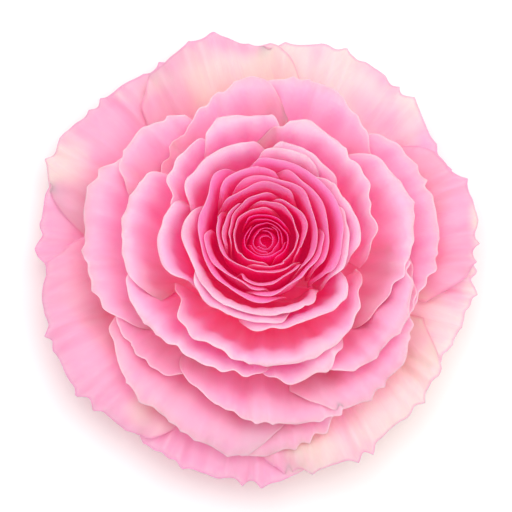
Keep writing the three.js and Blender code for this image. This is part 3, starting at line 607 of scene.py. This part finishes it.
class Paint:
    """One material and its nodes."""

    def __init__(self, name):
        self.material = bpy.data.materials.new(name)
        self.material.use_nodes = True
        self.tree = self.material.node_tree
        self.shader = self.tree.nodes["Principled BSDF"]

    def node(self, kind, settings=None, inputs=None, output=0):
        """Adds a node: its settings first, then the values or links of its sockets; gives one output."""
        new = self.tree.nodes.new(kind)
        for key, value in (settings or {}).items():
            setattr(new, key, value)
        for key, value in (inputs or {}).items():
            self.put(new.inputs[key], value)
        return Socket(self, new.outputs[output])

    def put(self, socket, value):
        """Links an output to the socket, or sets its value."""
        if isinstance(value, Socket):
            self.tree.links.new(value.out, socket)
        else:
            socket.default_value = value

    def mix(self, factor, first, second):
        """Colour between first and second by the factor."""
        return self.node("ShaderNodeMix", {"data_type": "RGBA"}, {0: factor, 6: first, 7: second}, 2)

    def stretched(self, vector, *scales):
        """The vector times a scale along each axis."""
        return self.node("ShaderNodeVectorMath", {"operation": "MULTIPLY"}, {0: vector, 1: (*scales, 1.0)})

    def attribute(self, name):
        """A value that the mesh carries at each point."""
        return self.node("ShaderNodeAttribute", {"attribute_name": name}, None, 2)

    def noise(self, vector, scale, detail=3.0):
        """Soft noise from about 0.3 to 0.7."""
        return self.node("ShaderNodeTexNoise", None, {"Vector": vector, "Scale": scale, "Detail": detail})

    def finish(self, colour, roughness, height, constants):
        """Links what varies, the height as a bump, and sets what doesn't vary on the shader's own sockets."""
        relief = {"Strength": BUMP_STRENGTH, "Distance": BUMP_DEPTH, "Height": height}
        bump = self.node("ShaderNodeBump", None, relief)
        self.put(self.shader.inputs["Base Color"], colour)
        self.put(self.shader.inputs["Roughness"], roughness)
        self.put(self.shader.inputs["Normal"], bump)
        for key, value in constants.items():
            self.shader.inputs[key].default_value = value
        return self.material


def srgb(text):
    """Linear colour of a hexadecimal sRGB one."""
    parts = np.array([int(text[k : k + 2], 16) for k in (0, 2, 4)]) / 255
    linear = np.where(parts <= 0.04045, parts / 12.92, ((parts + 0.055) / 1.055) ** 2.4)
    return (*linear.tolist(), 1.0)


def petal_paint(name, colours):
    """Satiny petal tissue with fine streaks along it and clouds of a second tint. Its pale lip and
    thin pale edge are painted highlights, the guards' pink lip and edge their own colour. It darkens
    towards the foot, partly its own colour and partly painted shade of the crevices; faces open to
    the light are painted paler, broad stripes paint the light and shade of soft folds, and a faint
    emission paints light into the crevices."""
    paint = Paint(name)
    drop, margin = paint.attribute("drop"), paint.attribute("margin")
    inside, tone = paint.attribute("inside"), paint.attribute("tone")
    uv = paint.node("ShaderNodeUVMap", {"uv_map": "petal"})
    place = paint.node("ShaderNodeTexCoord", None, None, 3)
    streaks = paint.noise(paint.stretched(uv, *STREAK_STRETCH), STREAK_SCALE, 4.0)
    fold_light_bands = paint.noise(paint.stretched(uv, *BAND_STRETCH), BAND_SCALE, 2.0) - 0.5
    clouds = paint.noise(place, CLOUD_SCALE, 2.0)
    patches = paint.noise(place, colours["tint_scale"], 2.0)
    grain = paint.noise(place, GRAIN_SCALE, 3.0)
    drift = (clouds - 0.5) * CLOUD_DRIFT + (tone - 0.5) * TONE_DRIFT
    # painted highlight: the rolled lip is painted pale, as lit; the guards' pink lip is their own colour
    lip = (1 - (drop + drift * 0.5).step(*colours["lip_span"])) * colours["lip_share"]
    # painted light: a face that lies open to the light takes a paler colour, as if lit
    lit_face = (paint.attribute("lit_face") + drift * 0.04).step(0.0, 1.0) * colours["lit_face_share"]
    # painted highlight: a thin pale line along the free edge, as lit; the guards' pink margin is their own
    # colour
    edge = 1 - (margin + (streaks - 0.5) * 0.4).step(0.0, colours["edge_width"])
    # darker towards the foot: partly the petal's own deeper colour, partly painted shade of the crevices
    body = paint.mix((drop + drift).step(*colours["deep_and_shade_span"]), srgb(colours["body"]), srgb(colours["deep_and_shade"]))
    layers = [
        (lit_face, "lit_face"),
        (lip, "lip"),
        # painted light and shade: broad stripes of the streaks' colour and the pale lip colour, like soft
        # folds
        (fold_light_bands.step(0.0, BAND_CONTRAST) * colours["fold_light_share"], "streak_and_fold_shade"),
        ((0 - fold_light_bands).step(0.0, BAND_CONTRAST) * colours["fold_light_share"], "lip"),
        (patches.step(*colours["tint_span"]) * colours["tint_share"], "tint"),
        ((1 - inside) * colours["back_share"], "back"),
        ((streaks - 0.5).step(0.0, 0.35) * STREAK_SHARE, "streak_and_fold_shade"),
        (edge * colours["edge_share"], "edge"),
    ]
    for share, colour in layers:
        body = paint.mix(share, body, srgb(colours[colour]))
    # painted light: an emission grows deeper in, standing in for light scattered into the crevices
    painted_glow = paint.mix((drop + drift * 0.5).step(*colours["painted_glow_span"]), (0, 0, 0, 1), srgb(colours["painted_glow"]))
    paint.put(paint.shader.inputs["Emission Color"], painted_glow)
    return paint.finish(body, 0.52 + (clouds - 0.5) * 0.25, streaks * 0.75 + grain * 0.25, {
        "Emission Strength": colours["painted_glow_strength"],
        "Subsurface Weight": 0.7,
        "Subsurface Radius": (1.0, 0.5, 0.8),
        "Subsurface Scale": 0.002,
        "Specular IOR Level": colours["gloss"],
        "Sheen Weight": colours["sheen"],
        "Sheen Roughness": 0.5,
    })


def calyx_paint():
    """Waxy green hip, reddish towards the sepals' tips and petal pink on the receptacle."""
    paint = Paint("calyx_green")
    along = paint.attribute("along")
    place = paint.node("ShaderNodeTexCoord", None, None, 3)
    height = paint.node("ShaderNodeSeparateXYZ", None, {0: place}, 2)
    mottle = paint.noise(place, MOTTLE_SCALE, 4.0)
    body = paint.mix(mottle.step(0.35, 0.7), srgb("4f7d35"), srgb("7ba254"))
    body = paint.mix((along + (mottle - 0.5) * 0.4).step(0.75, 1.05) * 0.5, body, srgb("9a5a48"))
    body = paint.mix(height.step(*RECEPTACLE_HEIGHTS), body, srgb("f79aa6"))
    return paint.finish(body, 0.5 + (mottle - 0.5) * 0.2, mottle, {
        "Specular IOR Level": 0.4,
        "Subsurface Weight": 0.1,
        "Subsurface Scale": 0.001,
    })


# Colours are sRGB, spans and widths millimetres from the rim. Lip, body and the darker colour follow each
# other from the rim in. The pale lip and edge are painted highlights, the guards' pink ones their own
# colour; the darker colour is partly the petal's own and partly painted shade of the crevices. A face
# that lies open to the light is painted paler, a painted light; stripes of the streaks' colour and the
# pale lip colour paint soft fold light and shade, and the emission colour paints light into the crevices.
HEART_COLOURS = dict(
    lit_face="ff60a4", lit_face_share=0.0, lip="ff66a8", body="fc2090", deep_and_shade="f80484", back="f6187c",
    streak_and_fold_shade="f41480", edge="fa70b4", lip_span=(0.2, 2.2), deep_and_shade_span=(1.6, 8.0), lip_share=0.7,
    back_share=0.5, edge_width=0.4, edge_share=0.2, tint="f84098", tint_share=0.2, tint_span=(0.45, 0.65),
    tint_scale=160.0, painted_glow="e80088", painted_glow_span=(0.0, 3.0), painted_glow_strength=0.055, fold_light_share=0.08, gloss=0.1,
    sheen=0.0,
)
FURLED_COLOURS = dict(
    lit_face="feb0d2", lit_face_share=0.95, lip="febedc", body="fa62a8", deep_and_shade="f81088", back="f83898",
    streak_and_fold_shade="fa3a90", edge="feb8da", lip_span=(1.4, 6.0), deep_and_shade_span=(4.5, 11.0), lip_share=1.0,
    back_share=0.6, edge_width=0.4, edge_share=0.2, tint="fc80b8", tint_share=0.2, tint_span=(0.45, 0.65),
    tint_scale=110.0, painted_glow="f0309c", painted_glow_span=(0.0, 7.0), painted_glow_strength=0.06, fold_light_share=0.1, gloss=0.1,
    sheen=0.0,
)
CUPPED_COLOURS = dict(
    lit_face="feb8d6", lit_face_share=0.9, lip="fecae2", body="fe98c4", deep_and_shade="fa5c98", back="fe98c2",
    streak_and_fold_shade="fd84b4", edge="ffd0e4", lip_span=(3.0, 10.0), deep_and_shade_span=(9.0, 20.0), lip_share=1.0,
    back_share=0.4, edge_width=0.7, edge_share=0.35, tint="fdb0dc", tint_share=0.3, tint_span=(0.45, 0.65),
    tint_scale=70.0, painted_glow="f03c94", painted_glow_span=(3.0, 14.0), painted_glow_strength=0.07, fold_light_share=0.2, gloss=0.2,
    sheen=0.0,
)
MIDDLE_COLOURS = dict(
    lit_face="fec0da", lit_face_share=0.85, lip="fecade", body="fea4c8", deep_and_shade="fb78a8", back="fda0c4",
    streak_and_fold_shade="fd8cb8", edge="ffd8e8", lip_span=(3.0, 12.0), deep_and_shade_span=(10.0, 24.0), lip_share=1.0,
    back_share=0.4, edge_width=0.7, edge_share=0.35, tint="f6b0e0", tint_share=0.35,
    tint_span=(0.45, 0.65), tint_scale=50.0, painted_glow="f84c90", painted_glow_span=(4.0, 18.0), painted_glow_strength=0.06,
    fold_light_share=0.3, gloss=0.25, sheen=0.0,
)
OUTER_COLOURS = dict(
    lit_face="fcb2d0", lit_face_share=0.75, lip="fdb8d2", body="fd94ba", deep_and_shade="fb70a0", back="fda4c4",
    streak_and_fold_shade="fc90b6", edge="ffd8e8", lip_span=(2.5, 11.0), deep_and_shade_span=(9.0, 24.0), lip_share=1.0,
    back_share=0.4, edge_width=0.7, edge_share=0.35, tint="fbc8d6", tint_share=0.4, tint_span=(0.45, 0.65),
    tint_scale=42.0, painted_glow="f85490", painted_glow_span=(6.0, 22.0), painted_glow_strength=0.04, fold_light_share=0.35, gloss=0.25,
    sheen=0.05,
)
GUARD_COLOURS = dict(
    lit_face="fab8ca", lit_face_share=0.0, lip="f9a6c4", body="faaec6", deep_and_shade="f9789c", back="fbacc4",
    streak_and_fold_shade="f784aa", edge="f67cac", lip_span=(0.5, 7.0), deep_and_shade_span=(7.0, 19.0), lip_share=0.75,
    back_share=0.4, edge_width=1.0, edge_share=0.6, tint="fde8d6", tint_share=0.9, tint_span=(0.5, 0.62),
    tint_scale=28.0, painted_glow="f07088", painted_glow_span=(0.0, 20.0), painted_glow_strength=0.05, fold_light_share=0.45, gloss=0.25,
    sheen=0.1,
)

# Grids are counted in faces; reaches are shares of a petal's length, heights and lengths millimetres. The
# drop that a petal is painted by scales with paint_rim over its rim's radius, so that a ring's small petals
# are painted like its large ones.
HEART_LOOK = dict(
    lit_face_drop=(4, 8), paint_rim=5, across=90, along=34, corner=0.3, corner_span=30, corner_share=0.3,
    patch_length=9.0, crimp_length=5.0, crimp_reach=0.002, crimp_height=0.03, tooth_length=5.0,
    tooth_reach=0.0, fold_height=0.0, lip=0.45, lip_depth=2.5, lip_length=9.0, ruffle_height=0.0,
    ruffle_depth=6.0, thickness=0.3,
)
FURLED_LOOK = dict(
    lit_face_drop=(8, 16), paint_rim=12, across=110, along=44, corner=0.55, corner_span=45, corner_share=0.45,
    patch_length=17.0, crimp_length=7.0, crimp_reach=0.006, crimp_height=0.14, tooth_length=6.0,
    tooth_reach=0.003, fold_height=0.08, lip=1.3, lip_depth=4.5, lip_length=14.0, ruffle_height=0.2,
    ruffle_depth=8.0, thickness=0.34,
)
CUPPED_LOOK = dict(
    lit_face_drop=(14, 24), paint_rim=20, across=90, along=50, corner=0.5, corner_span=40, corner_share=0.5,
    patch_length=19.0, crimp_length=6.5, crimp_reach=0.01, crimp_height=0.35, tooth_length=6.5,
    tooth_reach=0.01, fold_height=0.35, lip=2.0, lip_depth=6.5, lip_length=16.0, ruffle_height=0.8,
    ruffle_depth=12.0, thickness=0.34,
)
MIDDLE_LOOK = dict(
    lit_face_drop=(16, 28), paint_rim=30, across=110, along=48, corner=0.3, corner_span=30, corner_share=0.45,
    patch_length=23.0, crimp_length=5.0, crimp_reach=0.014, crimp_height=0.75, tooth_length=6.0,
    tooth_reach=0.018, fold_height=0.75, lip=2.0, lip_depth=8.0, lip_length=17.0, ruffle_height=1.4,
    ruffle_depth=16.0, thickness=0.34,
)
OUTER_LOOK = dict(
    lit_face_drop=(18, 30), paint_rim=40, across=120, along=48, corner=0.2, corner_span=20, corner_share=0.4,
    patch_length=23.0, crimp_length=4.6, crimp_reach=0.016, crimp_height=0.95, tooth_length=6.0,
    tooth_reach=0.02, fold_height=0.9, lip=1.8, lip_depth=9.0, lip_length=19.0, ruffle_height=1.9,
    ruffle_depth=18.0, thickness=0.34,
)
GUARD_LOOK = dict(
    lit_face_drop=(8, 20), paint_rim=52, across=150, along=48, corner=0.12, corner_span=14, corner_share=0.35,
    patch_length=21.0, crimp_length=4.2, crimp_reach=0.018, crimp_height=1.2, tooth_length=8.0,
    tooth_reach=0.022, fold_height=1.25, lip=1.0, lip_depth=8.0, lip_length=21.0, ruffle_height=2.4,
    ruffle_depth=20.0, thickness=0.34,
)

RINGS = [
    ("furled_petal", FURLED_RIMS, FURLED_LOOK, FURLED_COLOURS, "heart_pink"),
    ("cupped_petal", CUPPED_RIMS, CUPPED_LOOK, CUPPED_COLOURS, "inner_pink"),
    ("middle_petal", MIDDLE_RIMS, MIDDLE_LOOK, MIDDLE_COLOURS, "middle_pink"),
    ("outer_petal", OUTER_RIMS, OUTER_LOOK, OUTER_COLOURS, "outer_pink"),
    ("guard_petal", GUARD_RIMS, GUARD_LOOK, GUARD_COLOURS, "guard_cream"),
]


# ---------------------------------------------------------------- the bloom
bloom = Bloom()
heart_petals = [bloom.lay(rim, HEART_PACKING) for rim in HEART_RIMS]
bloom.feet.clear()  # the heart's petals stand on their own foot, above all levels
laid_rings = [[bloom.lay(rim) for rim in rims] for _, rims, _, _, _ in RINGS]

heart_parts = [turned(CORE_PROFILE, *CORE_GRID)]
for seed, petal in enumerate(heart_petals):
    heart_parts.append(petal_parts(petal, seed, HEART_FOOT, HEART_LOOK, HEART_START))
heart_tissue = petal_paint("heart_tissue", HEART_COLOURS)
build_piece("heart_rolled", joined(heart_parts), heart_tissue, "heart")

seed = len(HEART_RIMS)
for (ring, _, look, colours, slot), petals in zip(RINGS, laid_rings):
    tissue = petal_paint(f"{ring}_tissue", colours)
    for number, petal in enumerate(petals, 1):
        parts = petal_parts(petal, seed, foot_line(petal["level"] / FOOT_LEVELS), look)
        build_piece(f"{ring}_{number:02d}_soft", parts, tissue, f"{ring}_{number:02d}")
        seed += 1

build_piece("hip_waxy", joined(calyx_parts()), calyx_paint(), "hip_and_sepals")


# ---------------------------------------------------------------- floor, light and camera (metres)
FLOOR_HALF = 2.0
FLOOR_COLOUR = (0.97, 0.97, 0.97, 1)
KEY_PLACE = (0.05, 0.1, 0.9)
KEY_SIZE = 0.7
KEY_POWER = 4.0  # watts
KEY_AIM = (0, 0, 0.03)
SKY_STRENGTH = 0.8
FRAME_WIDTH = 512  # pixels
MM_PER_PIXEL = 0.245
SENSOR = 36.0  # millimetres
CAMERA_DISTANCE = 0.6
CAMERA_ELEVATION = 81.0  # degrees
HEART_PLACE = (0.0, 0.0, 0.048)
HEART_PIXEL = (265, 238)


def put_floor():
    """A square of matt pale card on z = 0."""
    mesh = bpy.data.meshes.new("floor")
    corners = [(x * FLOOR_HALF, y * FLOOR_HALF, 0) for x, y in ((-1, -1), (1, -1), (1, 1), (-1, 1))]
    mesh.from_pydata(corners, [], [(0, 1, 2, 3)])
    floor = bpy.data.objects.new("floor", mesh)
    bpy.context.scene.collection.objects.link(floor)
    card = Paint("pale_floor")
    card.put(card.shader.inputs["Base Color"], FLOOR_COLOUR)
    card.put(card.shader.inputs["Roughness"], 0.9)
    card.put(card.shader.inputs["Specular IOR Level"], 0.0)
    mesh.materials.append(card.material)


def aim(thing, target):
    """Turns a lamp or camera so that it looks at the target."""
    thing.rotation_euler = (Vector(target) - thing.location).to_track_quat("-Z", "Y").to_euler()


def put_lights():
    """One wide softbox nearly overhead, and a white sky."""
    lamp = bpy.data.lights.new("key_softbox", "AREA")
    lamp.shape, lamp.size, lamp.energy = "DISK", KEY_SIZE, KEY_POWER
    softbox = bpy.data.objects.new("key_softbox", lamp)
    softbox.location = KEY_PLACE
    bpy.context.scene.collection.objects.link(softbox)
    aim(softbox, KEY_AIM)
    world = bpy.data.worlds.new("studio")
    world.use_nodes = True
    world.node_tree.nodes["Background"].inputs["Color"].default_value = (1, 1, 1, 1)
    world.node_tree.nodes["Background"].inputs["Strength"].default_value = SKY_STRENGTH
    bpy.context.scene.world = world


def put_camera():
    """Looks down on the heart from the front; the lens follows from the millimetres in a pixel, and the place
    from the pixel at which the heart's middle stands."""
    data = bpy.data.cameras.new("camera")
    data.sensor_width = SENSOR
    data.lens = SENSOR * CAMERA_DISTANCE / (FRAME_WIDTH * MM_PER_PIXEL * MM)
    camera = bpy.data.objects.new("camera", data)
    bpy.context.scene.collection.objects.link(camera)
    elevation = math.radians(CAMERA_ELEVATION)
    right = Vector((1, 0, 0))
    up = Vector((0, math.sin(elevation), math.cos(elevation)))
    back = Vector((0, -math.cos(elevation), math.sin(elevation)))
    middle_of_view = (
        Vector(HEART_PLACE)
        + right * (FRAME_WIDTH / 2 - HEART_PIXEL[0]) * MM_PER_PIXEL * MM
        + up * (HEART_PIXEL[1] - FRAME_WIDTH / 2) * MM_PER_PIXEL * MM
    )
    camera.location = middle_of_view + back * CAMERA_DISTANCE
    aim(camera, middle_of_view)
    bpy.context.scene.camera = camera


put_floor()
put_lights()
put_camera()
bpy.context.scene.view_settings.view_transform = "Standard"
bpy.context.scene.cycles.use_denoising = True
bpy.context.scene.cycles.diffuse_bounces = 10
bpy.context.scene.cycles.max_bounces = 14
